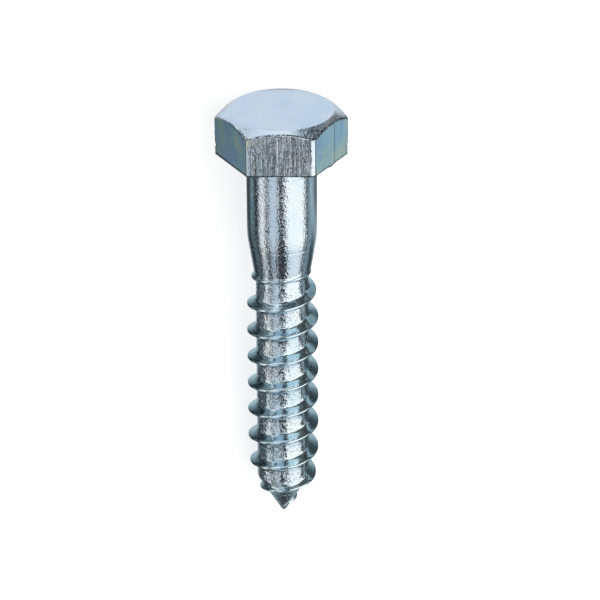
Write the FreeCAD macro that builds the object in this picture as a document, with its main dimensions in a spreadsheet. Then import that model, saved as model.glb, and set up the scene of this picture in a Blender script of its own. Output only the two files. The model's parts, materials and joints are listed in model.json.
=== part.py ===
import FreeCAD, Part
import math
import os
import sys

import PartDesign
import Sketcher

# A hex head wood screw, forged and rolled from one piece of steel wire: a chamfered
# hexagon head, a plain shank, a necked-down core with one coarse right-hand thread,
# and a gimlet point that the thread follows almost to the tip.
#
# It is built upright, with its axis on Z, the bearing face under the head at Z = 0 and
# the point below. The finished screw is then laid down as it comes to rest: on the lower
# edge of one head flat and on one thread crest near the point.

OUT_FOLDER = "parts"
NODE = "hex_head_wood_screw"

# Every size in millimetres or degrees, written once: alias, value, what it is.
SIZES = [
    ("across_flats", 19.0, "width of the hexagon, the spanner size"),
    ("head_height", 8.0, "bearing face to top face"),
    ("top_circle", 17.1, "diameter of the flat circle on top of the head"),
    ("chamfer_angle", 33.0, "slope of the turned chamfer round the top face"),
    ("shank_diameter", 11.6, "plain shank below the head"),
    ("shank_length", 13.1, "bearing face to the start of the neck"),
    ("neck_angle", 9.0, "slope of the neck, which narrows the shank to the core"),
    ("neck_blend", 20.0, "radius that runs the neck into the shank and into the core"),
    ("under_head_flare", 0.5, "where the shank widens at 45 degrees to meet the head"),
    ("screw_length", 67.2, "bearing face to the tip"),
    ("point_angle", 60.0, "full angle of the cone at the point"),
    ("tip_radius", 0.55, "rounding of the tip"),
    ("core_diameter", 8.9, "core between the thread's turns"),
    ("thread_diameter", 12.0, "over the thread's crests"),
    ("thread_pitch", 5.0, "axial distance from one turn to the next"),
    ("flank_angle", 30.0, "lean of each flank from a plane square to the axis"),
    ("crest_width", 0.24, "flat on top of the thread"),
    ("crest_on_x", 24.7, "one depth below the bearing face at which the crest crosses X"),
    ("thread_start", 19.8, "bearing face to where the thread starts inside the neck"),
    ("run_in", 8.2, "length over which the thread rises to full height"),
    ("point_fade", 12.5, "length over which the thread dies out towards the tip"),
    ("end_gap", 0.7, "from the tip back to where the thread ends inside the point"),
]

SINK = 0.15  # how deep the crest lies under the surface at both ends of the thread
ROOT_DEPTH = 0.4  # how deep the thread's roots lie under the surface, with a little more
ROOT_SHARE = 0.1  # where the thread is high, so that its flanks cross the core cleanly
POINTS_PER_PIECE = 16  # interpolated points in a piece of thread edge, at most one turn long
TILT_STEPS = 4000  # points of the crest that are tried for the one that touches the ground


def make_sheet(doc):
    """The spreadsheet that drives the model: one row a size, with its alias in column B."""
    sheet = doc.addObject("Spreadsheet::Sheet", "sizes")
    for row, (alias, value, note) in enumerate(SIZES, start=1):
        sheet.set(f"A{row}", note)
        sheet.set(f"B{row}", str(value))
        sheet.setAlias(f"B{row}", alias)
    doc.recompute()
    return sheet


def origin_plane(body, role):
    """One of the body's own three planes."""
    return next(f for f in body.Origin.OriginFeatures if f.Role == role)


def new_sketch(body, name, role):
    sketch = body.newObject("Sketcher::SketchObject", name)
    sketch.AttachmentSupport = (origin_plane(body, role), [""])
    sketch.MapMode = "FlatFace"
    return sketch


def size_constraint(sketch, name, constraint, expression):
    """Adds a dimension to the sketch and ties it to the spreadsheet."""
    index = sketch.addConstraint(constraint)
    sketch.renameConstraint(index, name)
    sketch.setExpression("Constraints." + name, expression)


def add_head(body, sheet):
    """The hexagon, with one corner on the X axis so that two flats face front and back."""
    sketch = new_sketch(body, "head_outline", "XY_Plane")
    corner_radius = sheet.across_flats / 2 / math.cos(math.pi / 6)
    angles = [math.pi / 3 * i for i in range(6)]
    corners = [FreeCAD.Vector(math.cos(a), math.sin(a), 0) * corner_radius for a in angles]
    for i in range(6):
        sketch.addGeometry(Part.LineSegment(corners[i], corners[(i + 1) % 6]), False)
    centre, upright = FreeCAD.Vector(0, 0, 0), FreeCAD.Vector(0, 0, 1)
    circle = sketch.addGeometry(Part.Circle(centre, upright, corner_radius), True)
    sketch.addConstraint(Sketcher.Constraint("Coincident", circle, 3, -1, 1))
    for i in range(6):
        sketch.addConstraint(Sketcher.Constraint("Coincident", i, 2, (i + 1) % 6, 1))
        sketch.addConstraint(Sketcher.Constraint("PointOnObject", i, 1, circle))
    for i in range(1, 6):
        sketch.addConstraint(Sketcher.Constraint("Equal", 0, i))
    sketch.addConstraint(Sketcher.Constraint("PointOnObject", 0, 1, -1))
    size_constraint(
        sketch,
        "corner_radius",
        Sketcher.Constraint("Radius", circle, corner_radius),
        "sizes.across_flats / 2 / cos(30 deg)",
    )
    pad = body.newObject("PartDesign::Pad", "head")
    pad.Profile = sketch
    pad.setExpression("Length", "sizes.head_height")
    sketch.Visibility = False
    return pad


def add_head_chamfer(body, sheet):
    """The turned chamfer: a wedge outside the top circle, cut away all round the axis."""
    sketch = new_sketch(body, "chamfer_wedge", "XZ_Plane")
    inner = sheet.top_circle / 2
    reach = sheet.across_flats / 2
    top = sheet.head_height
    drop = reach * math.tan(math.radians(sheet.chamfer_angle))
    corners = [(inner, top), (inner + reach, top), (inner + reach, top - drop)]
    points = [FreeCAD.Vector(x, y, 0) for x, y in corners]
    for i in range(3):
        sketch.addGeometry(Part.LineSegment(points[i], points[(i + 1) % 3]), False)
    for i in range(3):
        sketch.addConstraint(Sketcher.Constraint("Coincident", i, 2, (i + 1) % 3, 1))
    sketch.addConstraint(Sketcher.Constraint("Horizontal", 0))
    sketch.addConstraint(Sketcher.Constraint("Vertical", 1))
    size_constraint(
        sketch,
        "circle_radius",
        Sketcher.Constraint("DistanceX", -1, 1, 0, 1, inner),
        "sizes.top_circle / 2",
    )
    size_constraint(
        sketch,
        "top",
        Sketcher.Constraint("DistanceY", -1, 1, 0, 1, top),
        "sizes.head_height",
    )
    size_constraint(
        sketch,
        "reach",
        Sketcher.Constraint("DistanceX", 0, 1, 0, 2, reach),
        "sizes.across_flats / 2",
    )
    size_constraint(
        sketch,
        "drop",
        Sketcher.Constraint("DistanceY", 1, 2, 1, 1, drop),
        "sizes.across_flats / 2 * tan(sizes.chamfer_angle * 1 deg)",
    )
    groove = body.newObject("PartDesign::Groove", "head_chamfer")
    groove.Profile = sketch
    groove.ReferenceAxis = (sketch, ["V_Axis"])
    groove.Angle = 360.0
    sketch.Visibility = False
    return groove


def cone_start(sheet):
    """Depth below the bearing face at which the core turns into the cone of the point."""
    half = math.radians(sheet.point_angle / 2)
    apex = sheet.screw_length - sheet.tip_radius + sheet.tip_radius / math.sin(half)
    return apex - sheet.core_diameter / 2 / math.tan(half)


def neck_lengths(sheet):
    """Axial lengths of the neck's upper arc, its cone and its lower arc, in that order."""
    slope = math.radians(sheet.neck_angle)
    arc_drop = sheet.neck_blend * (1 - math.cos(slope))
    cone_drop = (sheet.shank_diameter - sheet.core_diameter) / 2 - 2 * arc_drop
    arc_length = sheet.neck_blend * math.sin(slope)
    return arc_length, cone_drop / math.tan(slope), arc_length


def add_shank(body, sheet):
    """Half the outline of shank, neck, core and point, turned about the axis."""
    sketch = new_sketch(body, "shank_outline", "XZ_Plane")
    shank, core = sheet.shank_diameter / 2, sheet.core_diameter / 2
    flare, tip, blend = sheet.under_head_flare, sheet.tip_radius, sheet.neck_blend
    half = math.radians(sheet.point_angle / 2)
    slope = math.radians(sheet.neck_angle)
    neck_start = -sheet.shank_length
    neck_end = neck_start - sum(neck_lengths(sheet))
    arc_length = neck_lengths(sheet)[0]
    arc_drop = blend * (1 - math.cos(slope))

    def line(*ends):
        start, end = (FreeCAD.Vector(x, y, 0) for x, y in ends)
        return sketch.addGeometry(Part.LineSegment(start, end), False)

    def arc(x, y, radius, first, last):
        circle = Part.Circle(FreeCAD.Vector(x, y, 0), FreeCAD.Vector(0, 0, 1), radius)
        return sketch.addGeometry(Part.ArcOfCircle(circle, first, last), False)

    touch = (tip * math.cos(half), tip - sheet.screw_length - tip * math.sin(half))
    cone_top = (shank - arc_drop, neck_start - arc_length)
    cone_foot = (core + arc_drop, neck_end + arc_length)
    top = line((0, 0), (shank + flare, 0))
    flare_side = line((shank + flare, 0), (shank, -flare))
    side = line((shank, -flare), (shank, neck_start))
    upper = arc(shank - blend, neck_start, blend, -slope, 0)
    neck = line(cone_top, cone_foot)
    lower = arc(core + blend, neck_end, blend, math.pi - slope, math.pi)
    core_side = line((core, neck_end), (core, -cone_start(sheet)))
    point = line((core, -cone_start(sheet)), touch)
    nose = arc(0, tip - sheet.screw_length, tip, -math.pi / 2, -half)
    axis = line((0, -sheet.screw_length), (0, 0))

    corners = [
        (top, 1, -1, 1),
        (top, 2, flare_side, 1),
        (flare_side, 2, side, 1),
        (core_side, 2, point, 1),
        (nose, 1, axis, 1),
        (axis, 2, top, 1),
    ]
    smooth_joints = [
        (side, 2, upper, 2),
        (upper, 1, neck, 1),
        (neck, 2, lower, 1),
        (lower, 2, core_side, 1),
        (point, 2, nose, 2),
    ]
    for joint in corners:
        sketch.addConstraint(Sketcher.Constraint("Coincident", *joint))
    for joint in smooth_joints:
        sketch.addConstraint(Sketcher.Constraint("Tangent", *joint))
    sketch.addConstraint(Sketcher.Constraint("PointOnObject", nose, 3, -2))
    sketch.addConstraint(Sketcher.Constraint("Horizontal", top))
    for upright in (side, core_side, axis):
        sketch.addConstraint(Sketcher.Constraint("Vertical", upright))
    dimensions = [
        ("shank_radius", ("DistanceX", -1, 1, side, 1, shank), "shank_diameter / 2"),
        ("core_radius", ("DistanceX", -1, 1, core_side, 2, core), "core_diameter / 2"),
        ("flare_width", ("DistanceX", side, 1, top, 2, flare), "under_head_flare"),
        ("flare_height", ("DistanceY", side, 1, -1, 1, flare), "under_head_flare"),
        ("shank_length", ("DistanceY", side, 2, -1, 1, -neck_start), "shank_length"),
        ("neck_slope", ("Angle", neck, 2, axis, 1, slope), "neck_angle * 1 deg"),
        ("upper_blend", ("Radius", upper, blend), "neck_blend"),
        ("lower_blend", ("Radius", lower, blend), "neck_blend"),
        ("screw_length", ("DistanceY", axis, 1, -1, 1, sheet.screw_length), "screw_length"),
        ("tip_radius", ("Radius", nose, tip), "tip_radius"),
        ("half_point_angle", ("Angle", point, 2, axis, 1, half), "point_angle / 2 * 1 deg"),
    ]
    for name, arguments, expression in dimensions:
        size_constraint(sketch, name, Sketcher.Constraint(*arguments), "sizes." + expression)
    turned = body.newObject("PartDesign::Revolution", "shank")
    turned.Profile = sketch
    turned.ReferenceAxis = (sketch, ["V_Axis"])
    turned.Angle = 360.0
    sketch.Visibility = False
    return turned


def core_radius_at(sheet, depth):
    """Radius of the turned outline at a depth, which is what the thread stands on."""
    shank, core = sheet.shank_diameter / 2, sheet.core_diameter / 2
    blend, slope = sheet.neck_blend, math.radians(sheet.neck_angle)
    upper, cone, lower = neck_lengths(sheet)
    past_shank = max(0.0, depth - sheet.shank_length)
    if past_shank < upper:
        return shank - blend + math.sqrt(blend**2 - past_shank**2)
    if past_shank < upper + cone:
        down_cone = past_shank - upper
        return shank - blend * (1 - math.cos(slope)) - down_cone * math.tan(slope)
    before_core = upper + cone + lower - past_shank
    if before_core > 0:
        return core + blend - math.sqrt(blend**2 - before_core**2)
    past_cone = max(0.0, depth - cone_start(sheet))
    return core - past_cone * math.tan(math.radians(sheet.point_angle / 2))


def thread_end(sheet):
    """Depth at which the thread ends, inside the point."""
    return sheet.screw_length - sheet.end_gap


def thread_height_at(sheet, depth):
    """How far the crest stands above the core: it rises from the neck and fades at the point."""
    full = (sheet.thread_diameter - sheet.core_diameter) / 2
    risen = min(1.0, (depth - sheet.thread_start) / sheet.run_in)
    left = min(1.0, max(0.0, thread_end(sheet) - depth) / sheet.point_fade)
    return (full + SINK) * math.sin(math.pi / 2 * risen) * math.sqrt(left) - SINK


def crest_angle_at(sheet, depth):
    """Angle about the axis at which a right-hand thread's crest has this depth, in radians."""
    return 2 * math.pi * (sheet.crest_on_x - depth) / sheet.thread_pitch


def ridge_section(sheet, depth):
    """The thread's four edges where its crest has this depth, as (radius, depth) pairs."""
    height = thread_height_at(sheet, depth)
    core = core_radius_at(sheet, depth)
    crest = core + height
    root = core - ROOT_DEPTH - ROOT_SHARE * max(0.0, height)
    half_crest = sheet.crest_width / 2 * min(1.0, core)
    half_root = half_crest + (crest - root) * math.tan(math.radians(sheet.flank_angle))
    return [
        (root, depth - half_root),
        (crest, depth - half_crest),
        (crest, depth + half_crest),
        (root, depth + half_root),
    ]


def thread_ridge(sheet):
    """The thread as a solid ridge: four long edges that wind round the axis in pieces of at
    most one turn, with a ruled face between each pair, and a flat cap inside the steel at
    each end."""
    first, last = sheet.thread_start, thread_end(sheet)
    pieces = math.ceil((last - first) / sheet.thread_pitch)
    count = pieces * POINTS_PER_PIECE
    depths = [first + (last - first) * i / count for i in range(count + 1)]
    edge_points = [[], [], [], []]
    for depth in depths:
        angle = crest_angle_at(sheet, depth)
        across = FreeCAD.Vector(math.cos(angle), math.sin(angle), 0)
        for points, (radius, z) in zip(edge_points, ridge_section(sheet, depth)):
            points.append(across * radius - FreeCAD.Vector(0, 0, z))
    curves = []
    for points in edge_points:
        curve = Part.BSplineCurve()
        curve.interpolate(Points=points, Parameters=depths)
        curves.append(curve)

    faces = []
    for start in range(0, count, POINTS_PER_PIECE):
        edges = []
        for curve in curves:
            piece = curve.copy()
            piece.segment(depths[start], depths[start + POINTS_PER_PIECE])
            edges.append(piece.toShape())
        for i in range(4):
            faces.append(Part.makeRuledSurface(edges[i], edges[(i + 1) % 4]))
    for end in (0, -1):
        corners = [points[end] for points in edge_points]
        faces.append(Part.Face(Part.makePolygon(corners + corners[:1])))
    shell = Part.Shell(faces)
    shell.sewShape()
    solid = Part.Solid(shell)
    if solid.Volume < 0:
        solid.reverse()
    return solid


def lying_placement(sheet, shape):
    """Lays the screw down: head towards +Y, one head flat and one thread crest on Z = 0.

    The back of the screw, its +Y side when upright, goes down. The ground is the line from
    the lower edge of that flat which first touches a crest, so the tilt is the least slope
    to any point of the crest."""
    flat = sheet.across_flats / 2
    first, last = sheet.thread_start, thread_end(sheet)
    slope = math.inf
    for i in range(TILT_STEPS + 1):
        depth = first + (last - first) * i / TILT_STEPS
        reach = core_radius_at(sheet, depth) + thread_height_at(sheet, depth)
        low = reach * math.sin(crest_angle_at(sheet, depth))
        slope = min(slope, (flat - low) / (depth + sheet.crest_width / 2))
    tilt = math.degrees(math.atan(slope))
    laid = FreeCAD.Placement(
        FreeCAD.Vector(0, 0, 0), FreeCAD.Rotation(FreeCAD.Vector(1, 0, 0), tilt - 90)
    )
    box = shape.copy()
    box.Placement = laid
    box = box.optimalBoundingBox(False)
    laid.Base = FreeCAD.Vector(-box.Center.x, -box.Center.y, -box.ZMin)
    return laid


def check(doc, shape):
    """Stops with a message if any object failed or the finished screw isn't one sound solid."""
    for obj in doc.Objects:
        if "Invalid" in obj.State or "Error" in obj.State:
            sys.exit(f"{obj.Name} failed: {obj.State}")
    if shape.isNull() or not shape.isValid() or len(shape.Solids) != 1:
        sys.exit(f"the screw isn't one valid solid: {len(shape.Solids)} solids")


def main():
    doc = FreeCAD.newDocument("hex_head_wood_screw")
    sheet = make_sheet(doc)

    body = doc.addObject("PartDesign::Body", "blank")
    add_head(body, sheet)
    doc.recompute()
    hexagon_volume = body.Shape.Volume
    add_head_chamfer(body, sheet)
    doc.recompute()
    if body.Shape.Volume >= hexagon_volume:
        sys.exit("the head chamfer cut nothing")
    head_volume = body.Shape.Volume
    add_shank(body, sheet)
    doc.recompute()
    if body.Shape.Volume <= head_volume:
        sys.exit("the shank added nothing")

    ridge = doc.addObject("Part::Feature", "thread")
    ridge.Shape = thread_ridge(sheet)

    screw = doc.addObject("Part::Fuse", NODE)
    screw.Label = NODE
    screw.Base = body
    screw.Tool = ridge
    screw.Refine = False
    doc.recompute()
    screw.Placement = lying_placement(sheet, screw.Shape)
    doc.recompute()
    check(doc, screw.Shape)

    os.makedirs(OUT_FOLDER, exist_ok=True)
    screw.Shape.exportStep(os.path.join(OUT_FOLDER, NODE + ".step"))
    print("placement", screw.Placement)
    print("volume", round(screw.Shape.Volume, 2), "box", screw.Shape.optimalBoundingBox(False))


main()
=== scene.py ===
import json
import math

import bpy
import numpy as np
from mathutils import Matrix, Vector, noise


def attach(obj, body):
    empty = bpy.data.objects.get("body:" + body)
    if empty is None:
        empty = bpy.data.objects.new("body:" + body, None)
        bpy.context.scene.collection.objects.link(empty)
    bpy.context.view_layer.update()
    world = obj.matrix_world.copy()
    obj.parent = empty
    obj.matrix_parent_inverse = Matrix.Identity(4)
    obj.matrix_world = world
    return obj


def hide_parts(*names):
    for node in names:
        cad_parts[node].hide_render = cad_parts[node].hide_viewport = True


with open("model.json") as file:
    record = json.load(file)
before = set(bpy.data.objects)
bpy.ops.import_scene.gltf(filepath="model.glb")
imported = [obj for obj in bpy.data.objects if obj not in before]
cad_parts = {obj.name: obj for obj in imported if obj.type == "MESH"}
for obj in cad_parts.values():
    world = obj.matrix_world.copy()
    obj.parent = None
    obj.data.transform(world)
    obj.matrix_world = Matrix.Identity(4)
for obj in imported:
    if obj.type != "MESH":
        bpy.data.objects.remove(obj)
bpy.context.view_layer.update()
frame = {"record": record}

# Hex head wood screw: one piece of carbon steel wire, zinc plated. The head is forged, its
# sides are sheared to a hexagon and its top is turned to a chamfer. The shank is drawn, and
# the core and its thread are rolled. It lies on one side of the head and on a thread crest.

# Its own axes in the row frame: the bearing face is the origin, z runs up through the head
# and x across the picture. All its sizes are in mm.
MM = 0.001
mounts = {mount["name"]: mount for mount in frame["record"]["mounts"]}
origin = Vector(mounts["bearing_face"]["pos_m"])
head_way = -Vector(mounts["bearing_face"]["axis"]).normalized()
across = Vector((1, 0, 0))
down = head_way.cross(across)
screw_axes = Matrix((across, down, head_way)).transposed()

ACROSS_FLATS = 19.0
HEAD_HEIGHT = 8.0
TOP_CIRCLE = 17.1
CHAMFER = math.radians(33)
TOP_EDGE = 0.5  # radius of the soft edge round the top circle
SHANK_RADIUS = 5.8
SHANK_LENGTH = 13.1
UNDER_HEAD = 0.6  # radius of the fillet under the head
NECK_ANGLE = math.radians(9)
NECK_BLEND = 20.0
CORE_RADIUS = 4.45
SCREW_LENGTH = 67.2
POINT_HALF_ANGLE = math.radians(30)
TIP_RADIUS = 0.55
PITCH = 5.0
CREST_RADIUS = 6.0
CREST_ON_X = 24.7  # one depth below the bearing face at which the crest crosses X
THREAD_START = 19.8
RUN_IN = 8.2
THREAD_END = 66.5
POINT_FADE = 12.5
FLANK_RISE = 1 / math.tan(math.radians(30))
HALF_CREST = 0.1
CREST_SINK = 0.15  # how deep the crest lies under the surface at both ends of the thread


def wander(points, size, seed):
    """Smooth uneven values, about -1 to 1, that change over a length of size mm."""
    shift = Vector((17.3, 9.1, 5.7)) * seed
    return np.array([noise.noise(Vector(p) / size + shift) for p in points])


def wander_round(angles, z, radius, size, seed):
    """The same at angles and heights round the axis."""
    angles, z = np.broadcast_arrays(angles, z)
    points = np.stack([np.cos(angles) * radius, np.sin(angles) * radius, z], -1)
    return wander(points.reshape(-1, 3), size, seed).reshape(angles.shape)


# Columns of points run along the screw. They crowd at the corners of the hexagon, at the seam
# on the right-hand flat and on the flat that faces the camera. Angles are in degrees.
CORNER_COLUMNS = [0, 0.45, 0.95, 1.5, 2.1, 2.8, 3.6, 4.6, 5.9, 7.5, 9.4, 11.6, 14, 16.6]
CORNER_COLUMNS += [19.3, 22, 24.7, 27.4, 30]  # to each side of a corner
BACK_CORNERS = (60, 120)
SEAM_COLUMNS = [334.3, 334.75, 335.05, 335.6, 336.1]
FRONT = 270
FRONT_COLUMNS = [19.4, 17.2, 14.8, 12, 9.3, 6.6, 3.9, 1.2]  # to each side of the front
columns = set(SEAM_COLUMNS)
for corner in range(0, 360, 60):
    chosen = CORNER_COLUMNS[::2] if corner in BACK_CORNERS else CORNER_COLUMNS
    columns |= {round((corner + side * a) % 360, 3) for side in (1, -1) for a in chosen}
columns |= {round(FRONT + side * a, 3) for side in (1, -1) for a in FRONT_COLUMNS}
theta = np.radians(sorted(columns))
COUNT = len(theta)

# How far each corner of the hexagon is worn round. The one at the front right is worn most,
# with a waist at middle height.
CORNER_WEAR = {0: 0.55, 60: 0.6, 120: 0.6, 180: 0.55, 240: 0.42, 300: 1.0}
FRONT_RIGHT = 300
WAIST, WAIST_Z = 0.72, 3.8
nearest_corner = (np.round(np.degrees(theta) / 60) * 60) % 360
corner_wear = np.array([CORNER_WEAR[int(c)] for c in nearest_corner])


def from_corner(angle):
    """The angle to the nearest corner of the hexagon."""
    return np.abs((angle + math.pi / 6) % (math.pi / 3) - math.pi / 6)


def hexagon(angle, wear):
    """Distance from the axis to the side of the head, its corners rounded by wear mm."""
    flat = ACROSS_FLATS / 2
    middle = (flat - wear) / math.cos(math.pi / 6)
    turn = np.arctan2(wear / 2, middle + wear * math.cos(math.pi / 6))
    aside = from_corner(angle)
    straight = flat / np.cos(math.pi / 6 - aside)
    inside = np.clip(wear**2 - (middle * np.sin(aside)) ** 2, 0, None)
    rounded = middle * np.cos(aside) + np.sqrt(inside)
    return np.where(aside < turn, rounded, straight)


def worn_side(z):
    """The hexagon's outline at a height (one for all columns or one each), worn unevenly."""
    z = np.broadcast_to(z, COUNT)
    places = [Vector((c / 7, h, 3.1)) for c, h in zip(nearest_corner, z)]
    uneven = np.array([noise.noise(p) + noise.noise(p * 2.9) for p in places])
    waist = np.where(nearest_corner == FRONT_RIGHT, WAIST + 0.035 * (z - WAIST_Z) ** 2, 1)
    return hexagon(theta, corner_wear * waist * (1 + 0.5 * uneven))


# Head and shank are built from closed rings, from the top down. Each ring has its share of
# the zones that the making and handling left on the surface.
ZONES = ("turned", "sheared", "drawn", "rolled", "scuffed", "edge")
rings = []
ring_zones = []


def add_ring(radius, z, **zones):
    """One closed ring: a radius and a height for all columns, or one for each."""
    rings.append((np.broadcast_to(radius, COUNT), np.broadcast_to(z, COUNT)))
    ring_zones.append([zones.get(name, 0.0) for name in ZONES])


# Top face, nearly flat, and the soft turned edge of its circle.
for radius in (0.9, 1.9, 3.0, 4.1, 5.2, 6.2, 7.1, 7.7, 8.05):
    add_ring(radius, HEAD_HEIGHT, turned=1)
edge_middle = TOP_CIRCLE / 2 - TOP_EDGE * math.tan(CHAMFER / 2)
for share in np.linspace(0, 1, 6):
    edge_r = edge_middle + TOP_EDGE * math.sin(CHAMFER * share)
    edge_z = HEAD_HEIGHT - TOP_EDGE * (1 - math.cos(CHAMFER * share))
    add_ring(edge_r, edge_z, turned=1, scuffed=share)

# Chamfer, then the ragged burnished edge between it and the sheared sides.
ragged = 0.3 + 0.18 * wander_round(theta, 7, radius=10, size=0.9, seed=1)
ragged = np.clip(ragged + 0.16 * wander_round(theta, 7, radius=10, size=0.4, seed=2), 0.1, 0.55)
arc_r = worn_side(6.4) - ragged
arc_z = HEAD_HEIGHT - (arc_r + ragged - TOP_CIRCLE / 2) * math.tan(CHAMFER)
arc_z = arc_z - ragged * (1 - math.sin(CHAMFER)) / math.cos(CHAMFER)
outer_r = arc_r + ragged * math.sin(CHAMFER)
outer_z = arc_z + ragged * math.cos(CHAMFER)
for share in (0.08, 0.25, 0.45, 0.65, 0.82, 0.94):
    chamfer_r = edge_r + (outer_r - edge_r) * share
    chamfer_z = edge_z + (outer_z - edge_z) * share
    add_ring(chamfer_r, chamfer_z, turned=1, scuffed=1, edge=0.8 * (share > 0.9))
for share in np.linspace(0, 1, 5):
    lean = (math.pi / 2 - CHAMFER) * (1 - share)
    turned = 1 - share
    burnished_r, burnished_z = arc_r + ragged * math.cos(lean), arc_z + ragged * math.sin(lean)
    add_ring(burnished_r, burnished_z, turned=turned, sheared=share, scuffed=turned, edge=1)

# Sides. Their rings crowd at the lip that the corners keep near the bearing face, where the
# shear stopped. The foot is rounded by FOOT_ROUND, and more in the middle of the front.
LIP_RINGS = (2.6, 2.4, 2.2, 2.05, 1.93, 1.84, 1.75, 1.66, 1.57, 1.45, 1.3, 1.1)
FOOT_RINGS = (0.85, 0.6, 0.4, 0.28)
ABOVE_LIP = 2.75
FOOT_ROUND = 0.2
FRONT_ROUND = 0.18
FOOT_ROUND_HIGH = 0.26
side_top = arc_z - 0.03
for share in np.linspace(0.02, 0.96, 20):
    z = side_top + (ABOVE_LIP - side_top) * share
    add_ring(worn_side(z), z, sheared=1)
for z in LIP_RINGS + FOOT_RINGS:
    add_ring(worn_side(z), z, sheared=1)
side_foot = worn_side(FOOT_ROUND)
foot = FOOT_ROUND + FRONT_ROUND * np.clip(1.4 - np.abs(np.degrees(theta) - FRONT) / 24, 0, 1)
foot_high = np.minimum(foot, FOOT_ROUND_HIGH)
for step in range(4):
    lean = math.pi / 2 * step / 3
    foot_r = side_foot - foot * (1 - math.cos(lean))
    add_ring(foot_r, foot_high * (1 - math.sin(lean)), sheared=1 - step / 6)

# Bearing face and the fillet under the head.
bearing_inner = SHANK_RADIUS + UNDER_HEAD
for share in (0.03, 0.15, 0.4, 0.7, 0.93):
    bearing_r = side_foot - foot + (bearing_inner - side_foot + foot) * share
    add_ring(bearing_r, 0.0, turned=0.5, drawn=0.5)
for lean in np.linspace(0, math.pi / 2, 6):
    fillet_r = SHANK_RADIUS + UNDER_HEAD * (1 - math.sin(lean))
    add_ring(fillet_r, -UNDER_HEAD * (1 - math.cos(lean)), drawn=1)


def plain_radius(depth):
    """Radius of shank, neck, core and point at a depth below the bearing face."""
    arc = NECK_BLEND * math.sin(NECK_ANGLE)
    arc_drop = NECK_BLEND * (1 - math.cos(NECK_ANGLE))
    cone = (SHANK_RADIUS - CORE_RADIUS - 2 * arc_drop) / math.tan(NECK_ANGLE)
    past = np.maximum(depth - SHANK_LENGTH, 0)
    left = np.maximum(2 * arc + cone - past, 0)
    upper = SHANK_RADIUS - NECK_BLEND + np.sqrt(np.clip(NECK_BLEND**2 - past**2, 0, None))
    middle = SHANK_RADIUS - arc_drop - (past - arc) * math.tan(NECK_ANGLE)
    lower = CORE_RADIUS + NECK_BLEND - np.sqrt(np.clip(NECK_BLEND**2 - left**2, 0, None))
    radius = np.where(past < arc, upper, np.where(past < arc + cone, middle, lower))
    nose_middle = SCREW_LENGTH - TIP_RADIUS
    apex = nose_middle + TIP_RADIUS / math.sin(POINT_HALF_ANGLE)
    point = (apex - depth) * math.tan(POINT_HALF_ANGLE)
    nose = np.sqrt(np.clip(TIP_RADIUS**2 - (depth - nose_middle) ** 2, 0, None))
    touch = nose_middle + TIP_RADIUS * math.sin(POINT_HALF_ANGLE)
    return np.minimum(radius, np.where(depth > touch, nose, point))


# Shank, down to where the thread's grid takes over. Two fine rings are turned into it.
UPPER_RING, LOWER_RING = 2.5, 15.65
shank_depths = [0.75, 0.95, 1.2, 1.5, 1.9, 2.2, 2.4, UPPER_RING, 2.6, 2.8, 3.1]
shank_depths += list(np.arange(3.5, 15.3, 0.4))
shank_depths += [15.4, 15.55, LOWER_RING, 15.75, 15.9, 16.2, 16.6, 17.0]
for depth in shank_depths:
    add_ring(plain_radius(depth), -depth, drawn=1)

vertices = []  # radius (None where threaded_radius gives it), angle and height
vertex_zones = []
for (radius, z), zones in zip(rings, ring_zones):
    vertices += [(radius[i], theta[i], z[i]) for i in range(COUNT)]
    vertex_zones += [zones] * COUNT
faces = []


def join_rings(upper, lower):
    """Faces between two closed rows of vertex numbers, the upper one nearer the head."""
    for i in range(COUNT):
        j = (i + 1) % COUNT
        faces.append([upper[i], lower[i], lower[j], upper[j]])


ring_rows = [[r * COUNT + i for i in range(COUNT)] for r in range(len(rings))]
for upper, lower in zip(ring_rows, ring_rows[1:]):
    join_rings(upper, lower)

# The neck ends in a small ledge where the rolling starts: its depth at each 45 degrees.
LEDGE_DEPTHS = [21.3, 22.2, 23.3, 22.85, 22.2, 21.6, 21.1, 21.2, 21.3]
LEDGE_HIGH = 0.11
LEDGE_WIDTH = 0.22
LEDGE_STEP = 0.35  # length over which the neck drops to the core
CREST_WORN = 0.03
CREST_UNEVEN = 0.035
CREST_ROUND = 0.05
ROOT_ROUND = 0.05, 0.33  # rounding of the roots where the thread is lowest, and what is added


def thread_height(depth):
    """How far the crest stands above the plain outline where the crest has this depth."""
    risen = np.clip((depth - THREAD_START) / RUN_IN, 0, 1)
    left = np.clip((THREAD_END - depth) / POINT_FADE, 0, 1)
    full = CREST_RADIUS - CORE_RADIUS + CREST_SINK
    return full * np.sin(math.pi / 2 * risen) * np.sqrt(left) - CREST_SINK


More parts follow.
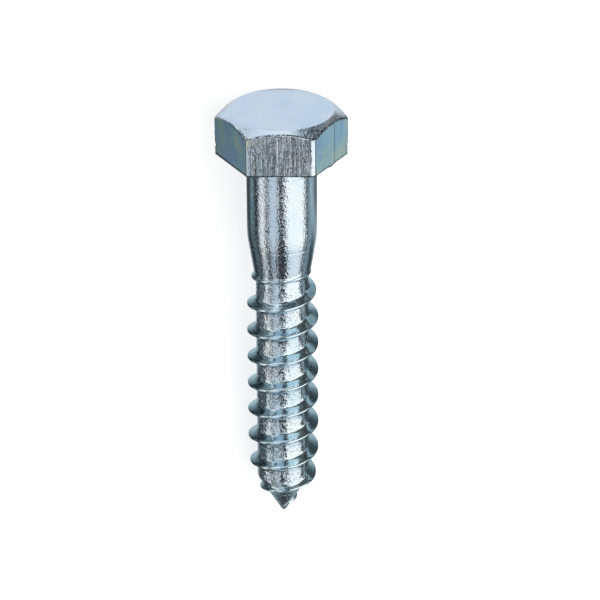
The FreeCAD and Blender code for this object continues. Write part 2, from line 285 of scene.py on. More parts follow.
def threaded_radius(angle, depth):
    """Radius of the threaded part, with rounded roots and crests, and the share of thread."""
    along = depth + PITCH * angle / (2 * math.pi) - CREST_ON_X
    off_crest = along - np.round(along / PITCH) * PITCH
    crest_depth = depth - off_crest
    height = thread_height(crest_depth)
    uneven = wander_round(angle, -crest_depth, radius=CREST_RADIUS, size=2.5, seed=3)
    crest = plain_radius(crest_depth) + height - CREST_WORN
    crest = crest + CREST_UNEVEN * uneven * np.clip(height, 0, 1)
    beside = np.maximum(np.abs(off_crest) - HALF_CREST, 0)
    flank = crest - FLANK_RISE * (np.hypot(beside, CREST_ROUND) - CREST_ROUND)

    plain = plain_radius(depth)
    past_ledge = depth - np.interp(np.degrees(angle), np.arange(0, 361, 45), LEDGE_DEPTHS)
    rolled_in = np.clip(past_ledge / LEDGE_STEP, 0, 1)
    rolled_in = rolled_in**2 * (3 - 2 * rolled_in)
    core = plain - np.maximum(plain - CORE_RADIUS, 0) * rolled_in
    ledge = LEDGE_HIGH * np.exp(-(((past_ledge + 0.12) / LEDGE_WIDTH) ** 2))
    core = core + ledge * (plain > CORE_RADIUS)

    root_round = ROOT_ROUND[0] + ROOT_ROUND[1] * np.clip(height / 1.5, 0, 1)
    radius = (core + flank + np.hypot(core - flank, root_round)) / 2
    on_thread = np.clip((radius - core) / 0.25, 0, 1)
    return np.minimum(radius, CREST_RADIUS), on_thread


def add_threaded(angle, depth):
    """One point of the threaded part. Its radius is worked out when all are there."""
    vertices.append((None, angle, -depth))
    vertex_zones.append([float(name == "rolled") for name in ZONES])
    return len(vertices) - 1


# The thread's grid: its rows follow the helix and crowd at the crest and at both roots. They
# are open, and each ends at a full turn on the first point of the row one pitch further up.
FROM_CREST = [0, 0.06, 0.12, 0.2, 0.32, 0.46, 0.6, 0.74, 0.86, 0.96, 1.06, 1.2, 1.42, 1.75, 2.12]
GRID_TURNS = 9
GRID_TOP = CREST_ON_X - 1.5 * PITCH
in_one_pitch = [-PITCH / 2] + [-a for a in reversed(FROM_CREST)] + FROM_CREST[1:]
ROWS = len(in_one_pitch)
row_starts = [CREST_ON_X + PITCH * turn + a for turn in range(GRID_TURNS) for a in in_one_pitch]
turned_part = theta / (2 * math.pi)
top_ring = [add_threaded(a, GRID_TOP) for a in theta]
join_rings(ring_rows[-1], top_ring)
spiral = []
for start in row_starts:
    spiral.append([add_threaded(a, start - PITCH * t) for a, t in zip(theta, turned_part)])

# A wedge of rows at each end brings the helix back to a plain ring.
upper_wedge = [top_ring]
for k in range(1, ROWS):
    share = (row_starts[k] - row_starts[0]) / PITCH
    row = [add_threaded(a, GRID_TOP + share * PITCH * (1 - t)) for a, t in zip(theta, turned_part)]
    upper_wedge.append(row)
upper_wedge.append(spiral[0])
grid_end = row_starts[-1]
end_start = spiral[-1][0]
end_ring = [end_start] + [add_threaded(a, grid_end) for a in theta[1:]]
lower_wedge = [spiral[-1]]
for k in range(ROWS - 1):
    rest = 1 - (row_starts[k - ROWS] - row_starts[-ROWS - 1]) / PITCH
    depths = [grid_end - rest * PITCH * t for t in turned_part[1:]]
    lower_wedge.append([end_start] + [add_threaded(a, d) for a, d in zip(theta[1:], depths)])
lower_wedge.append(end_ring)


def join_open_rows(upper, lower, upper_end, lower_end):
    """Faces between two open rows, closed at the full turn by the given end vertices."""
    up, low = upper + [upper_end], lower + [lower_end]
    for i in range(COUNT):
        face = [up[i], low[i], low[i + 1], up[i + 1]]
        faces.append(list(dict.fromkeys(face)))


for k in range(ROWS):
    join_open_rows(upper_wedge[k], upper_wedge[k + 1], top_ring[0], top_ring[0])
row_ends = [row[0] for row in upper_wedge[:ROWS] + spiral]
for k in range(len(spiral) - 1):
    join_open_rows(spiral[k], spiral[k + 1], row_ends[k], row_ends[k + 1])
for k in range(ROWS):
    ends = spiral[k - ROWS - 1][0], spiral[k - ROWS][0]
    join_open_rows(lower_wedge[k], lower_wedge[k + 1], *ends)

# Rounded tip.
tip_row = end_ring
for depth in (66.84, 66.93, 67.0, 67.08, 67.15):
    next_row = [add_threaded(a, depth) for a in theta]
    join_rings(tip_row, next_row)
    tip_row = next_row

radius, angle, z = np.array([(0 if r is None else r, a, z) for r, a, z in vertices]).T.copy()
threaded = np.array([v[0] is None for v in vertices])
depth = -z
degrees = np.degrees(angle)
corner_gap = from_corner(angle)
zone = dict(zip(ZONES, np.array(vertex_zones).T))
zone["thread_share"] = np.zeros(len(z))
radius[threaded], zone["thread_share"][threaded] = threaded_radius(angle[threaded], depth[threaded])

# The drawn finish ends in the neck, where the rolled one begins. That fades in the point.
DRAWN_END, DRAWN_FADE = 24.5, 4.0
ROLLED_DOWN = [61, 64], [1, 0.35]  # depths and shares
ROLLED_ROUND = [0, 90, 240, 262, 285, 300, 330, 360], [0.8, 1, 1.15, 1.15, 0.85, 0.55, 0.55, 0.8]
drawn = np.clip((DRAWN_END - depth) / DRAWN_FADE, 0, 1) * (1 - zone["thread_share"])
zone["drawn"] = np.where(threaded, drawn, zone["drawn"])
rolled = (1 - zone["drawn"]) * np.interp(depth, *ROLLED_DOWN)
zone["rolled"] = np.where(threaded, rolled, zone["rolled"])
zone["rolled"] *= np.interp(degrees, *ROLLED_ROUND)

# Dark lines of painted shade: a whole one (1) along the foot of the head, broken ones (less) where the
# chamfer ends.
FOOT_LINE_HIGH = 0.34
LEFT_LINE_HIGHER = 0.14
ARC_LINE_AT = [0, 60, 180, 238, 245, 360], [0.5, 0.25, 0.4, 0.4, 0.5, 0.5]
on_left = (degrees > 180) & (degrees < 239.9)
foot_shade_line = np.clip((FOOT_LINE_HIGH + LEFT_LINE_HIGHER * on_left - z) / 0.1, 0, 1)
arc_shade_line = (zone["edge"] > 0) * np.clip((zone["turned"] - 0.6) / 0.2, 0, 1)
zone["dark_line"] = (zone["sheared"] > 0) * foot_shade_line
zone["dark_line"] += arc_shade_line * np.interp(degrees, *ARC_LINE_AT)

# The corners are rubbed smooth, and the chamfer is scuffed most at the front right.
SCUFFED_AT = (
    [0, 20, 90, 180, 205, 228, 245, 262, 285, 300, 360],
    [1, 0.3, 0.3, 0.15, 0.15, 0.4, 0.45, 0.15, 0.4, 1, 1],
)
zone["sheared"] *= np.clip((np.degrees(corner_gap) - 1.4) / 1.8, 0.05, 1)
zone["scuffed"] *= np.interp(degrees, *SCUFFED_AT)
zone["scuffed"] = np.maximum(zone["scuffed"], zone["edge"] * 0.8)

# Marks of making and handling. Each is a move of the surface along the radius, in mm.
points = np.stack([np.cos(angle) * radius, np.sin(angle) * radius, z], -1)
broad = wander(points, size=4.0, seed=4)
fine = wander(points, size=0.9, seed=5)


def bell(distance, width):
    """1 in the middle, fading smoothly to 0 on both sides."""
    return np.exp(-((distance / width) ** 2))


def dent(place, width, length):
    """The shape of a small dent or burr at an angle in degrees and a depth."""
    turn = (angle - math.radians(place[0]) + math.pi) % (2 * math.pi) - math.pi
    return bell(turn * radius, width) * bell(depth - place[1], length)


# Sheared sides: uneven, with a lip at the corners that the camera doesn't see, and a seam
# with a small burr at its foot on the right-hand flat.
LIP_Z = 1.75
LIP_DEEP = 0.17
LIP_TURN = math.radians(3.2)
SEAM_ANGLE = math.radians(335.3)
SEAM_DEEP = 0.07
SEAM_TURN = math.radians(0.3)
BURR_LONG = 0.3
sheared = zone["sheared"]
at_front = (degrees > 210) & (degrees < 330)
lip = bell(corner_gap, LIP_TURN) * ((z > 0.1) & (z < 5) & ~at_front)
lip *= 1 + 0.5 * wander(points, size=3.0, seed=6)
move = sheared * (0.02 * broad + 0.008 * fine)
move -= lip * (LIP_DEEP * bell(z - LIP_Z, 0.2) + 0.05 * (z < LIP_Z))
from_seam = angle - SEAM_ANGLE
on_right = (degrees > 300) * sheared
move -= on_right * 0.03 * np.clip(from_seam / math.radians(0.4), 0, 1)
move -= on_right * SEAM_DEEP * bell(from_seam, SEAM_TURN)

# Drawn shank: nearly even, with its two turned rings, a step at the lower one and dimples.
RING_DEEP = {LOWER_RING: 0.045, UPPER_RING: 0.03}
RING_WIDTH = 0.1
STEP_DEEP = 0.02
DIMPLES = ((-81.3, 5.67), (-71.5, 8.12), (-61.0, 9.05))
DIMPLE_DEEP = 0.05
step_down = np.clip((depth - LOWER_RING) / 0.3, 0, 1)
drawn = zone["drawn"]
move += drawn * (0.012 * broad + 0.006 * fine)
move -= drawn * STEP_DEEP * step_down
for ring_depth, deep in RING_DEEP.items():
    move -= drawn * deep * bell(depth - ring_depth, RING_WIDTH)
for place in DIMPLES:
    move -= drawn * DIMPLE_DEEP * dent(place, 0.25, 0.3)

# Rolled core and thread: mottled between the turns, with pits and burrs at the point.
POINT_MARKS = {(-83.3, 66.0): -0.16, (-62.4, 65.3): -0.12, (-74.0, 65.5): 0.07, (-95.0, 65.6): 0.05}
MOTTLE_HIGH = 0.045
MOTTLE_ON_FLANKS = 0.006
rolled = zone["rolled"]
thread_share = zone["thread_share"]
mottle = wander(points, size=0.9, seed=7) + 0.6 * wander(points, size=0.4, seed=8)
above_tip = np.clip((SCREW_LENGTH - 0.3 - depth) / 2, 0, 1)
move += rolled * (1 - thread_share) * MOTTLE_HIGH * mottle * above_tip
move += rolled * thread_share * MOTTLE_ON_FLANKS * mottle * (radius < CREST_RADIUS - 0.2)
for place, high in POINT_MARKS.items():
    move += rolled * high * dent(place, 0.22, 0.2)
radius = radius + move
radius = np.where(threaded, np.minimum(radius, CREST_RADIUS), radius)
burr_turn = (from_seam + math.radians(5.2)) / math.radians(4.2)
burr = on_right * np.clip(1.6 * np.exp(-(burr_turn**4)), 0, 1)
z = z - BURR_LONG * burr * np.clip((0.5 - z) / 0.5, 0, 1)

# The middle of the top and the very tip close the mesh.
screw_mm = np.stack([np.cos(angle) * radius, np.sin(angle) * radius, z], -1)
top_middle, tip = len(screw_mm), len(screw_mm) + 1
screw_mm = np.vstack([screw_mm, [[0, 0, HEAD_HEIGHT], [0, 0, 0.002 - SCREW_LENGTH]]])
for name, values in zone.items():
    zone[name] = np.append(values, [name == "turned", name == "rolled"])
for i in range(COUNT):
    j = (i + 1) % COUNT
    faces.append([top_middle, ring_rows[0][i], ring_rows[0][j]])
    faces.append([tip, tip_row[j], tip_row[i]])

# The film of the plating shows its tints on every sheared side but the front one, and has
# turned the colour of straw in a few spots: their places and sizes.
STRAW_SPOTS = {(-5.3, -9.3, 6.3): 0.7, (0.9, -2.0, -64.6): 0.5, (6.9, -7.0, 3.3): 0.6}
from_front = np.abs((np.degrees(np.arctan2(screw_mm[:, 1], screw_mm[:, 0])) + 90 + 180) % 360 - 180)
zone["stained"] = zone["sheared"] * (from_front > 29)
straw = np.zeros(len(screw_mm))
for place, size in STRAW_SPOTS.items():
    straw += bell(np.linalg.norm(screw_mm - place, axis=1), size)
zone["straw"] = np.clip(straw, 0, 1)

row_points = screw_mm @ np.array(screw_axes.transposed()) * MM + np.array(origin)
screw_mesh = bpy.data.meshes.new("screw")
screw_mesh.from_pydata(row_points.tolist(), [], faces)
for polygon in screw_mesh.polygons:
    polygon.use_smooth = True
places = screw_mesh.attributes.new("screw_mm", "FLOAT_VECTOR", "POINT")
places.data.foreach_set("vector", screw_mm.astype(np.float32).ravel())
for name, values in zone.items():
    attribute = screw_mesh.attributes.new(name, "FLOAT", "POINT")
    attribute.data.foreach_set("value", values.astype(np.float32))
screw = bpy.data.objects.new("screw", screw_mesh)
bpy.context.scene.collection.objects.link(screw)


def linear(colour):
    """A shader colour from an sRGB hex value."""
    parts = [int(colour[i : i + 2], 16) / 255 for i in (1, 3, 5)]
    return [p / 12.92 if p <= 0.04045 else ((p + 0.055) / 1.055) ** 2.4 for p in parts] + [1]


def add_node(tree, kind, *values, **named):
    """Adds a shader node. Values fill its inputs in order or by name, names in small letters
    are its settings, and a value that is a node or an output is linked."""
    node = tree.nodes.new("ShaderNode" + kind)
    for name in filter(str.islower, list(named)):
        setattr(node, name, named.pop(name))
    inputs = [socket for socket in node.inputs if socket.enabled]
    by_name = {socket.name.replace(" ", "_"): socket for socket in inputs}
    for socket, value in [*zip(inputs, values), *((by_name[key], named[key]) for key in named)]:
        if isinstance(value, bpy.types.Node):
            value = next(output for output in value.outputs if output.enabled)
        if isinstance(value, bpy.types.NodeSocket):
            tree.links.new(value, socket)
        else:
            socket.default_value = value
    return node


# Blue passivated zinc plating: a nearly white mirror with a cool tint that drifts to teal and
# straw. It is satin on the turned top, streaked along the sheared sides, grainy on the drawn
# shank and mottled between the thread's turns.
zinc = bpy.data.materials.new("blue_passivated_zinc_plate")
zinc.use_nodes = True
tree = zinc.node_tree
tree.nodes.clear()
where = add_node(tree, "Attribute", attribute_name="screw_mm").outputs["Vector"]
on_zone = {name: add_node(tree, "Attribute", attribute_name=name).outputs["Fac"] for name in zone}

# The patterns: width and length of their spots in mm, then how many finer steps they have and
# how strong those are. Grain, pits and scratches are finer on the real screw, and are drawn as
# coarse as the picture can show.
PATTERNS = {
    "film_patches": (4.545, 4.545, 2.0, 0.5),
    "film_spots": (0.625, 0.625, 3.0, 0.6),
    "stain": (3.333, 3.333, 2.0, 0.5),
    "grain": (0.3125, 0.3125, 1.0, 0.6),
    "mottle": (0.7692, 0.7692, 3.0, 0.55),
    "pitting": (0.4167, 0.4167, 1.0, 0.5),
    "streaks": (0.2778, 10.0, 3.0, 0.65),
    "chatter": (0.2381, 0.7692, 2.0, 0.6),
    "scuffs": (0.5, 0.5, 3.0, 0.65),
}
pattern = {}
for name, (wide, long, detail, strength) in PATTERNS.items():
    scaled = add_node(tree, "Mapping", where, Scale=(1 / wide, 1 / wide, 1 / long))
    pattern[name] = add_node(tree, "TexNoise", scaled, Scale=1.0, Detail=detail, Roughness=strength)
SMOOTH = {"interpolation_type": "SMOOTHSTEP"}
pits = add_node(tree, "MapRange", pattern["pitting"], 0.56, 0.66, **SMOOTH)
# Painted shade: the bottoms of the shear streaks are darkened on the front flat.
painted_valley_shade = add_node(tree, "MapRange", pattern["streaks"], 0.52, 0.36, **SMOOTH)
dull_streaks = add_node(tree, "MapRange", pattern["streaks"], 0.4, 0.6, 0.03, 0.16, **SMOOTH)
broken = add_node(tree, "MapRange", pattern["scuffs"], 0.44, 0.52, **SMOOTH)

off_thread = add_node(tree, "Math", on_zone["thread_share"], -0.85, 1.0, operation="MULTIPLY_ADD")
on_core = add_node(tree, "Math", on_zone["rolled"], off_thread, operation="MULTIPLY")
unscuffed = add_node(tree, "Math", 1.0, on_zone["scuffed"], operation="SUBTRACT")
satin_top = add_node(tree, "Math", on_zone["turned"], unscuffed, operation="MULTIPLY")

# The shear's streaks and chatter marks, with one long scratch near the middle of the front.
# They hardly show on the stained sides.
SCRATCH_X = -0.57
SCRATCH_WIDTH = 0.0588
aside = add_node(tree, "SeparateXYZ", where).outputs["X"]
aside = add_node(tree, "Math", aside, SCRATCH_X, operation="SUBTRACT")
aside = add_node(tree, "Math", aside, SCRATCH_WIDTH, operation="DIVIDE")
scratch = add_node(tree, "Math", aside, 2.0, operation="POWER")
scratch = add_node(tree, "Math", scratch, -1.0, operation="MULTIPLY")
scratch = add_node(tree, "Math", scratch, operation="EXPONENT")
deeper = add_node(tree, "Math", scratch, 0.45, 1.0, operation="MULTIPLY_ADD")
shear_marks = add_node(tree, "Math", pattern["chatter"], deeper, operation="MULTIPLY")
shear_marks = add_node(tree, "Math", pattern["streaks"], 1.1, shear_marks, operation="MULTIPLY_ADD")
unstained = add_node(tree, "Math", on_zone["stained"], -0.93, 1.0, operation="MULTIPLY_ADD")
shear_marks = add_node(tree, "Math", shear_marks, unstained, operation="MULTIPLY")

# Relief: a pattern, the zone where it shows and its height in mm.
RELIEF = (
    (pattern["grain"], on_zone["drawn"], 0.052),
    (pattern["mottle"], on_core, 0.13),
    (pits, on_core, -0.055),
    (shear_marks, on_zone["sheared"], 0.032),
    (pattern["scuffs"], on_zone["scuffed"], 0.1),
    (pits, on_zone["edge"], -0.08),
)
height = 0.0
for marks, shown, high in RELIEF:
    marks = add_node(tree, "Math", marks, shown, operation="MULTIPLY")
    height = add_node(tree, "Math", marks, high, height, operation="MULTIPLY_ADD")
relief = add_node(tree, "Bump", Strength=1.0, Distance=MM, Height=height)

# Tints of the film, over the whole screw and stronger on the stained sides.
film = add_node(
    tree, "Math", pattern["film_spots"], 0.35, pattern["film_patches"], operation="MULTIPLY_ADD"
)
TINTS = {
    "film": (film, ((0.45, "#ABC4D0"), (0.62, "#B7C9DA"), (0.85, "#BFCDD7"))),
    "stain": (pattern["stain"], ((0.36, "#9CB8E0"), (0.5, "#A9CAD3"), (0.64, "#CBD1C6"))),
}
tints = {}
for name, (drift, stops) in TINTS.items():
    tints[name] = add_node(tree, "ValToRGB", drift)
    ramp = tints[name].color_ramp
    ramp.elements.new(1.0)  # a third stop beside the two that it has
    for element, (position, colour) in zip(ramp.elements, stops):
        element.position = position
        element.color = linear(colour)

# Layers of colour over the film: stains, the bluer flanks, straw spots, painted shade in the bottoms of
# the streaks and painted shade in the dark lines.
straw_film = add_node(tree, "Math", on_zone["straw"], pattern["film_spots"], operation="MULTIPLY")
bare_sides = add_node(tree, "Math", on_zone["sheared"], on_zone["stained"], operation="SUBTRACT")
painted_valley_shade = add_node(tree, "Math", painted_valley_shade, bare_sides, operation="MULTIPLY")
# Painted shade: the dark lines at the foot of the head and where the chamfer ends, broken up by the
# scuffs.
painted_shade_amount = add_node(tree, "Math", on_zone["dark_line"], 2.0, broken, operation="MULTIPLY_ADD")
painted_shade_amount = add_node(tree, "Math", painted_shade_amount, 1.0, operation="SUBTRACT")
painted_shade_amount = add_node(tree, "Clamp", painted_shade_amount, Max=0.85)
LAYERS = (
    (on_zone["stained"], 0.8, tints["stain"]),
    (on_zone["thread_share"], 0.4, linear("#BADBE6")),
    (straw_film, 0.9, linear("#D6DBA8")),
    (painted_valley_shade, 0.6, linear("#6F7C86")),
    (painted_shade_amount, 1.0, linear("#2E363C")),
)
colour = tints["film"]
for shown, strength, over in LAYERS:
    amount = add_node(tree, "Math", shown, strength, operation="MULTIPLY")
    colour = add_node(tree, "Mix", amount, colour, over, data_type="RGBA")

# Roughness: a bright plating, made duller by each of these.
DULLING = (
    (pattern["film_spots"], 0.06),
    (on_core, 0.03),
    (on_zone["thread_share"], 0.04),
    (satin_top, 0.14),
)
roughness = add_node(tree, "Math", on_zone["sheared"], dull_streaks, 0.03, operation="MULTIPLY_ADD")
for shown, amount in DULLING:
    roughness = add_node(tree, "Math", shown, amount, roughness, operation="MULTIPLY_ADD")
plating = add_node(
    tree, "BsdfPrincipled", Metallic=1.0, Base_Color=colour, Roughness=roughness, Normal=relief
)
add_node(tree, "OutputMaterial", plating)
screw_mesh.materials.append(zinc)

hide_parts("hex_head_wood_screw")
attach(screw, "root")

# Camera. It looks down on the lying screw, a little over the top of the head, from about
# half a metre away, so that the screw stands upright in the picture.
CAMERA_AT = (7.647, -482.334, 215.405)  # mm in the screw's axes
CAMERA_AIM = (2.920, 0.029, -26.795)
CAMERA_ROLL = -0.0044  # radians
FILM_WIDTH = 36.0  # mm
FOCAL_IN_PICTURE_WIDTHS = 5.3703

camera_data = bpy.data.cameras.new("camera")
camera_data.sensor_width = FILM_WIDTH
camera_data.lens = FILM_WIDTH * FOCAL_IN_PICTURE_WIDTHS
camera_data.clip_start = 0.01
camera_data.clip_end = 20.0
camera = bpy.data.objects.new("camera", camera_data)
bpy.context.scene.collection.objects.link(camera)
looking = (Vector(CAMERA_AIM) - Vector(CAMERA_AT)).normalized()
level_right = looking.cross(Vector((0, 0, 1))).normalized()
level_up = level_right.cross(looking)
picture_right = math.cos(CAMERA_ROLL) * level_right + math.sin(CAMERA_ROLL) * level_up
picture_up = math.cos(CAMERA_ROLL) * level_up - math.sin(CAMERA_ROLL) * level_right
camera_axes = Matrix((picture_right, picture_up, -looking)).transposed()
camera.matrix_world = (screw_axes @ camera_axes).to_4x4()
camera.location = origin + screw_axes @ Vector(CAMERA_AT) * MM
bpy.context.scene.camera = camera

# Floor: a plain sheet of pale matt paper, which takes the screw's soft shadow. The camera and
# the reflections see a little white added to it, so that it ends in plain white.
PAPER_REACH = 3.0  # m
WHITE_TO_CAMERA = 0.68
WHITE_IN_REFLECTIONS = 0.02

paper_mesh = bpy.data.meshes.new("floor")
paper_corners = [(x * PAPER_REACH, y * PAPER_REACH, 0) for x, y in ((-1, -1), (1, -1), (1, 1), (-1, 1))]
paper_mesh.from_pydata(paper_corners, [], [(0, 1, 2, 3)])
floor = bpy.data.objects.new("floor", paper_mesh)
bpy.context.scene.collection.objects.link(floor)
paper = bpy.data.materials.new("pale_paper")
paper.use_nodes = True
tree = paper.node_tree
tree.nodes.clear()
path = add_node(tree, "LightPath").outputs
to_camera = add_node(tree, "Math", path["Is Camera Ray"], WHITE_TO_CAMERA, operation="MULTIPLY")
shiny = add_node(tree, "Math", path["Is Glossy Ray"], path["Is Transmission Ray"], operation="MAXIMUM")
to_shiny = add_node(tree, "Math", shiny, WHITE_IN_REFLECTIONS, operation="MULTIPLY")
white = add_node(tree, "Math", to_camera, to_shiny, operation="MAXIMUM")
added_white = add_node(tree, "Emission", linear("#FFFFFF"), white)
matt = add_node(tree, "BsdfDiffuse", linear("#C8CCD0"))
add_node(tree, "OutputMaterial", add_node(tree, "AddShader", matt, added_white))
paper_mesh.materials.append(paper)

# Room: plain white painted walls, far away. They give dim light all round, and are bright to
# the camera and in reflections.
ROOM_LIGHT = 0.25
ROOM_SEEN = 1.0

world = bpy.data.worlds.new("world")
bpy.context.scene.world = world
world.use_nodes = True
tree = world.node_tree
tree.nodes.clear()
path = add_node(tree, "LightPath").outputs
seen = add_node(tree, "Math", path["Is Camera Ray"], path["Is Glossy Ray"], operation="MAXIMUM")
seen = add_node(tree, "Math", seen, path["Is Transmission Ray"], operation="MAXIMUM")
room_white = add_node(
    tree, "Math", seen, ROOM_SEEN - ROOM_LIGHT, ROOM_LIGHT, operation="MULTIPLY_ADD"
)
walls = add_node(tree, "Background", linear("#FFFFFF"), room_white)
add_node(tree, "OutputWorld", walls)

# Soft boxes and cards: lamps behind white cloth, and boards hung round the screw that glow at a set
# level of their own and show only in reflections, as painted reflections. They leave the light and dark
# bands along the shank.
SCREW_MIDDLE_HIGH = 0.009  # m
WARM_WHITE = "#FFF5EA"


def card(name, corners, level, colour="#FFFFFF", card_faces=None):
    """A board of one brightness, or with a list that gives one for each of its points."""
    card_mesh = bpy.data.meshes.new(name)
    card_mesh.from_pydata(corners, [], card_faces or [tuple(range(len(corners)))])
    board = bpy.data.objects.new(name, card_mesh)
    bpy.context.scene.collection.objects.link(board)
    surface = bpy.data.materials.new(name)
    surface.use_nodes = True
    tree = surface.node_tree
    tree.nodes.clear()
    if isinstance(level, list):
        bright = card_mesh.attributes.new("bright", "FLOAT", "POINT")
        bright.data.foreach_set("value", level)
        level = add_node(tree, "Attribute", attribute_name="bright").outputs["Fac"]
    add_node(tree, "OutputMaterial", add_node(tree, "Emission", linear(colour), level))
    card_mesh.materials.append(surface)
    board.visible_camera = False
    board.visible_diffuse = False
    board.visible_shadow = False
    board.visible_transmission = False


def long_panel(first, last, distance, middle_y):
    """Middle, width and turn of a panel along the screw. It spans two angles from straight
    up, in degrees and positive to the right, at a distance from the screw in m."""
    middle_angle = math.radians(first + last) / 2
    width = 2 * distance * math.tan(math.radians(last - first) / 2)
    middle = Vector((math.sin(middle_angle), 0, math.cos(middle_angle))) * distance
    middle += Vector((0, middle_y, SCREW_MIDDLE_HIGH))
    return middle, width, Matrix.Rotation(middle_angle, 4, "Y")


def long_card(name, middle, width, turn, length, level):
    """A card that fills a long panel."""
    flat = [(-width, -length), (width, -length), (width, length), (-width, length)]
    place = Matrix.Translation(middle) @ turn
    card(name, [tuple(place @ Vector((x / 2, y / 2, 0))) for x, y in flat], level)


# Angles, radiance, distance, length and middle of the soft boxes. Each has a black back.
SOFT_BOXES = {
    "soft_box_right": (7, 84, 1.75, 0.9, 1.88, 0.26),
    "soft_box_left": (-80, -58, 1.35, 0.9, 3.0, -0.3),
}
for name, (first, last, radiance, distance, length, middle_y) in SOFT_BOXES.items():
    middle, width, turn = long_panel(first, last, distance, middle_y)
    light = bpy.data.lights.new(name, "AREA")
    light.shape = "RECTANGLE"
    light.size = width
    light.size_y = length
    light.energy = radiance * math.pi * width * length
    light.color = linear(WARM_WHITE)[:3]
    lamp = bpy.data.objects.new(name, light)
    bpy.context.scene.collection.objects.link(lamp)
    lamp.matrix_world = Matrix.Translation(middle) @ turn
    lamp.visible_camera = False
    just_behind = middle * (1 + 0.01 / distance)
    long_card(name + "_back", just_behind, width, turn, length, 0.0)

# Angles, level, distance, length and middle of the long cards.
LONG_CARDS = {
    "sheet_right": (7, 87, 1.15, 0.9, 1.3, -1.33),
    "grey_left": (-46, -11, 0.95, 0.6, 1.44, 0.28),
    "grey_left_low": (-46, -11, 0.72, 0.6, 1.0, -0.94),
    "line_left": (-58, -46, 0.12, 0.6, 1.44, 0.28),
    "line_left_low": (-68, -44, 0.08, 0.6, 1.0, -0.94),
}
for name, (first, last, level, distance, length, middle_y) in LONG_CARDS.items():
    middle, width, turn = long_panel(first, last, distance, middle_y)
    long_card(name, middle, width, turn, length, level)

# Cards over the screw, low cards round it and screens behind the head: level and corners in
# m. Those over the screw leave a dark gap, which narrows beside the shank.
OVERHEAD = 0.5
gap_edge = [(-0.08, 0.05), (-0.08, -0.234), (-0.09, -0.252), (-0.12, -0.34)]
gap_edge += [(0.125, -0.34), (0.12, -0.252), (0.055, -0.234), (0.055, 0.05)]
neck_gap_edge = [(-0.12, -0.34), (-0.45, -1.2), (0.45, -1.2), (0.125, -0.34)]
line_edge = [(-0.1, 0.05), (0.07, 0.05), (0.07, 0.17), (-0.1, 0.17)]
CARDS = {
    "gap_above": (0.075, [(x, y, OVERHEAD) for x, y in gap_edge]),
    "gap_above_neck": (0.07, [(x, y, OVERHEAD) for x, y in neck_gap_edge]),
    "line_over_head": (1.9, [(x, y, OVERHEAD) for x, y in line_edge]),
    "gap_over_head": (
        0.08,
        [(-0.2, 0.17, OVERHEAD), (0.07, 0.17, OVERHEAD), (0.07, 0.43, 0.32), (-0.2, 0.43, 0.32)],
    ),
    "low_card_left": (0.09, [(-0.3, -0.6, 0), (-0.3, 0.2, 0), (-0.3, 0.2, 0.055), (-0.3, -0.6, 0.055)]),
    "low_card_right": (0.16, [(0.3, -0.6, 0), (0.3, 0.2, 0), (0.3, 0.2, 0.045), (0.3, -0.6, 0.045)]),
    "low_card_tip": (0.08, [(-0.3, -0.6, 0), (0.3, -0.6, 0), (0.3, -0.6, 0.08), (-0.3, -0.6, 0.08)]),
    "dark_wall_behind_right": (
        0.13,
        [(0.105, 0.43, 0), (1.2, 0.43, 0), (1.2, 0.43, 0.4), (0.105, 0.43, 0.4)],
    ),
    "screen_behind_head": (
        1.3,
        [(-0.4, 0.43, 0), (0.105, 0.43, 0), (0.105, 0.43, 0.13), (-0.4, 0.43, 0.13)],
    ),
    "gap_behind_head": (
        0.06,
        [(-0.15, 0.43, 0.13), (0.105, 0.43, 0.13), (0.105, 0.43, 0.32), (-0.2, 0.43, 0.32)],
    ),
}
for name, (level, corners) in CARDS.items():
    card(name, corners, level)

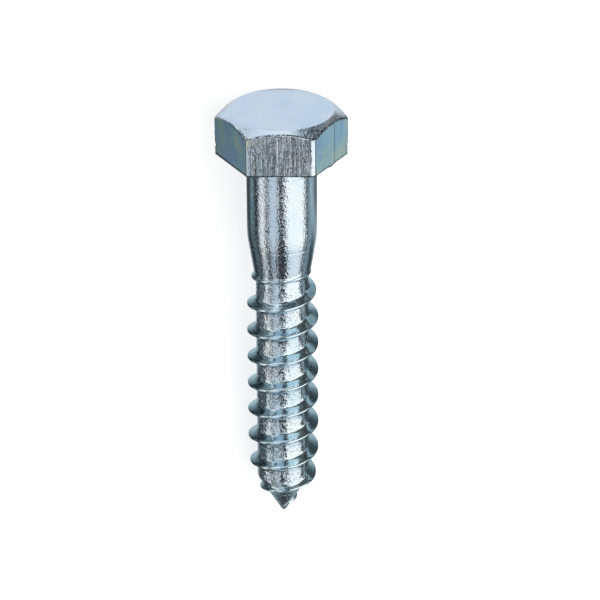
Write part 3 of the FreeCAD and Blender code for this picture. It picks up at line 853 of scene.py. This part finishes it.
# Board beside the screw that glows from dark to light at the listed levels and shows only in
# reflections: a painted reflection of the floor, with painted shade near the screw and its head. Each
# row is a place along the screw, with the levels left of the screw's middle and right of it. All places
# are in mm.
REFLECTED_FLOOR_X = [-300, -60, -46, -38, -27, -23, -18, -15, -12, -9.5, -7, 0]
REFLECTED_FLOOR_X += [7, 9, 12, 18, 24, 28, 40, 55, 80, 300]
REFLECTED_FLOOR_ROWS = {
    -60: (
        [0.05, 0.05, 0.2, 0.3, 0.15, 0.05, 0.03, 0.04, 0.08, 0.12, 0.25, 0.3],
        [0.3, 0.15, 0.1, 0.08, 0.1, 0.2, 0.5, 0.4, 0.2, 0.12],
    ),
    -20: (
        [0.05, 0.05, 0.2, 0.34, 0.15, 0.05, 0.03, 0.04, 0.1, 0.35, 0.7, 0.5],
        [0.7, 0.3, 0.1, 0.08, 0.12, 0.3, 0.65, 0.6, 0.3, 0.15],
    ),
    5: (
        [0.05, 0.05, 0.2, 0.36, 0.25, 0.08, 0.03, 0.03, 0.08, 0.35, 0.7, 0.5],
        [0.7, 0.3, 0.1, 0.06, 0.15, 0.45, 0.6, 0.4, 0.2, 0.15],
    ),
    11: (
        [0.05, 0.05, 0.2, 0.5, 0.5, 0.4, 0.1, 0.05, 0.1, 0.4, 0.7, 0.3],
        [0.7, 0.6, 0.5, 0.55, 0.75, 0.85, 0.8, 0.4, 0.2, 0.12],
    ),
    17: (
        [0.05, 0.05, 0.2, 0.36, 0.32, 0.25, 0.08, 0.06, 0.1, 0.12, 0.2, 0.3],
        [0.2, 0.12, 0.2, 0.4, 0.5, 0.65, 0.65, 0.3, 0.14, 0.12],
    ),
    29: (
        [0.05, 0.05, 0.2, 0.34, 0.3, 0.23, 0.12, 0.1, 0.12, 0.12, 0.2, 0.3],
        [0.2, 0.12, 0.2, 0.35, 0.58, 0.72, 0.72, 0.3, 0.14, 0.12],
    ),
    38.5: (
        [0.05, 0.05, 0.2, 0.3, 0.3, 0.3, 0.2, 0.2, 0.2, 0.3, 0.3, 0.3],
        [0.3, 0.3, 0.2, 0.2, 0.1, 0.08, 0.08, 0.08, 0.08, 0.08],
    ),
}
SHEET_HIGH = 0.3  # mm over the floor
across_count = len(REFLECTED_FLOOR_X)
reflected_floor_points = [(x * MM, y * MM, SHEET_HIGH * MM) for y in REFLECTED_FLOOR_ROWS for x in REFLECTED_FLOOR_X]
reflected_floor_levels = [level for left, right in REFLECTED_FLOOR_ROWS.values() for level in left + right]
reflected_floor_faces = []
for r in range(len(REFLECTED_FLOOR_ROWS) - 1):
    for i in range(across_count - 1):
        a = r * across_count + i
        reflected_floor_faces.append((a, a + 1, a + 1 + across_count, a + across_count))
card("table_beside_screw", reflected_floor_points, reflected_floor_levels, "#E4FAFF", reflected_floor_faces)

# Sheets on the floor that glow white, grey and dark and show only in reflections, as painted reflections
# of the floor: level, colour, height over the floor and corners, in mm. The strips lie on the painted
# floor reflection, beside the foot of the head.
WHITE, COOL_WHITE = "#FFFFFF", "#F8FAFF"
STRIP_HIGH = 0.5
SHEETS = {
    "ground_past_tip": (0.07, WHITE, SHEET_HIGH, [(-300, -600), (300, -600), (300, -60), (-300, -60)]),
    "strip_left": (0.8, WHITE, STRIP_HIGH, [(-16, 34.5), (-5, 34.5), (-5, 38.5), (-16, 38.5)]),
    "strip_right": (0.8, WHITE, STRIP_HIGH, [(5, 34.5), (16, 34.5), (16, 38.5), (5, 38.5)]),
    "strip_far_right": (0.06, WHITE, STRIP_HIGH, [(22, 29), (80, 29), (80, 38.5), (22, 38.5)]),
    "white_sheet_behind_head": (
        1.09,
        COOL_WHITE,
        SHEET_HIGH,
        [(-19, 38.5), (14.6, 38.5), (14.3, 47), (23, 85), (105, 430)]
        + [(-250, 430), (-75, 153), (-40, 74), (-27, 52)],
    ),
    "grey_sheet_behind_left": (0.5, WHITE, SHEET_HIGH, [(-40, 38.5), (-19, 38.5), (-27, 52), (-40, 74)]),
    "dark_sheet_behind_left": (
        0.1,
        WHITE,
        SHEET_HIGH,
        [(-300, 38.5), (-40, 38.5), (-40, 74), (-75, 153), (-250, 430), (-300, 430)],
    ),
    "dark_sheet_behind_right": (
        0.1,
        WHITE,
        SHEET_HIGH,
        [(14.6, 38.5), (300, 38.5), (300, 47), (14.3, 47)],
    ),
    "grey_sheet_behind_right": (0.4, WHITE, SHEET_HIGH, [(14.3, 47), (42, 47), (42, 82), (22.3, 82)]),
    "dark_sheet_right": (0.04, WHITE, SHEET_HIGH, [(42, 47), (300, 47), (300, 82), (42, 82)]),
    "dark_sheet_far_right": (
        0.05,
        WHITE,
        SHEET_HIGH,
        [(22.3, 82), (300, 82), (400, 430), (105, 430)],
    ),
}
for name, (level, colour, high, corners) in SHEETS.items():
    card(name, [(x * MM, y * MM, high * MM) for x, y in corners], level, colour)

bpy.context.scene.view_settings.view_transform = "Standard"
